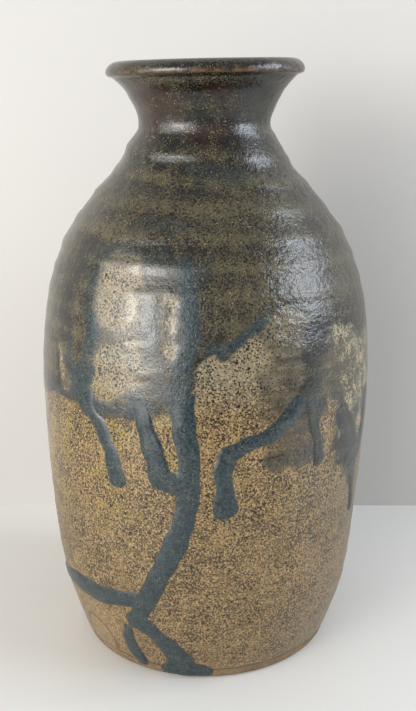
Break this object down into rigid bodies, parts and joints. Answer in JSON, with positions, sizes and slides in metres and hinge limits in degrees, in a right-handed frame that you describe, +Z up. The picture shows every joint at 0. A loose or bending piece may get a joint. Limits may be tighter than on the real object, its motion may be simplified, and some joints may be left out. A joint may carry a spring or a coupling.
{
  "type": "sake bottle",
  "caption": "Thrown stoneware sake bottle with a flared lip, narrow throat, round shoulder and turned foot; a dark poured glaze runs down over an oatmeal coat.",
  "frame": {"origin": "centre of the foot ring, on the surface the bottle stands on", "axes": "+Z up along the throwing axis through the mouth, -Y the front with the long glaze run, +X to the right seen from the front"},
  "size_m": [0.1423, 0.1422, 0.25],
  "materials": {
    "fired_clay": "matt toasted stoneware, bare at the foot",
    "slip": "matt fired slip",
    "liner_glaze": "satin glaze",
    "oatmeal_glaze": "satin oatmeal glaze with fine dark iron specks",
    "dark_glaze": "glossy olive-black glaze, mottled and banded along the throwing rings",
    "blue_black_glaze": "glossy thick blue-black glaze"
  },
  "bodies": {
    "root": {"lower_body": "fired_clay", "seam_slip": "slip", "collar": "fired_clay", "liner_glaze": "liner_glaze", "oatmeal_glaze": "oatmeal_glaze", "dark_glaze": "dark_glaze", "glaze_runs": "blue_black_glaze"}
  },
  "joints": []
}
